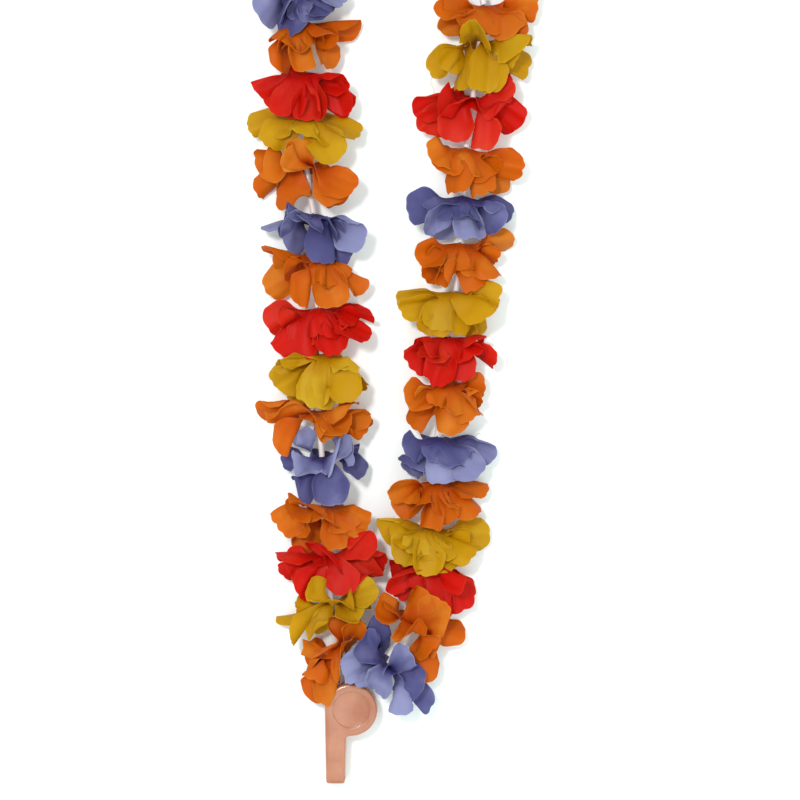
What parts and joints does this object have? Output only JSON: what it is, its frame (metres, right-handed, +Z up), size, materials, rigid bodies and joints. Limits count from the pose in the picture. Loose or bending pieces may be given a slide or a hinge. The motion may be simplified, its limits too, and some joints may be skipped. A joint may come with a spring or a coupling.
{
  "type": "artificial flower lei",
  "caption": "Closed party lei of die-cut cloth flowers and short plastic straws on a thread, with a plain pea whistle tied on at the bottom, lying flat.",
  "frame": {"origin": "on the table under the middle of the whole lei", "axes": "+Y up the loop, away from the whistle; +Z up from the table; +X to the right as seen from above"},
  "size_m": [0.1724, 0.5652, 0.0475],
  "materials": {
    "cloth_blue": "blue violet satin cloth",
    "cloth_orange": "orange satin cloth",
    "cloth_red": "red satin cloth",
    "cloth_yellow": "yellow satin cloth",
    "straw": "thin translucent straw on pale thread",
    "whistle_plastic": "salmon moulded plastic",
    "pea_plastic": "pale moulded plastic"
  },
  "bodies": {
    "root": {"flower_01_blue": "cloth_blue", "flower_02_orange": "cloth_orange", "flower_03_red": "cloth_red", "flower_04_yellow": "cloth_yellow", "flower_05_orange": "cloth_orange", "flower_06_blue": "cloth_blue", "flower_07_orange": "cloth_orange", "flower_08_red": "cloth_red", "flower_09_yellow": "cloth_yellow", "flower_10_orange": "cloth_orange", "flower_11_blue": "cloth_blue", "flower_12_orange": "cloth_orange", "flower_13_red": "cloth_red", "flower_14_yellow": "cloth_yellow", "flower_15_orange": "cloth_orange", "flower_16_blue": "cloth_blue", "flower_17_orange": "cloth_orange", "flower_18_red": "cloth_red", "flower_19_yellow": "cloth_yellow", "flower_20_orange": "cloth_orange", "flower_21_blue": "cloth_blue", "flower_22_orange": "cloth_orange", "flower_23_red": "cloth_red", "flower_24_yellow": "cloth_yellow", "flower_25_orange": "cloth_orange", "flower_26_blue": "cloth_blue", "flower_27_orange": "cloth_orange", "flower_28_red": "cloth_red", "flower_29_yellow": "cloth_yellow", "flower_30_orange": "cloth_orange", "flower_31_blue": "cloth_blue", "flower_32_orange": "cloth_orange", "flower_33_red": "cloth_red", "flower_34_yellow": "cloth_yellow", "flower_35_orange": "cloth_orange", "thread_with_straws": "straw", "whistle_body": "whistle_plastic", "whistle_pea": "pea_plastic"}
  },
  "joints": []
}
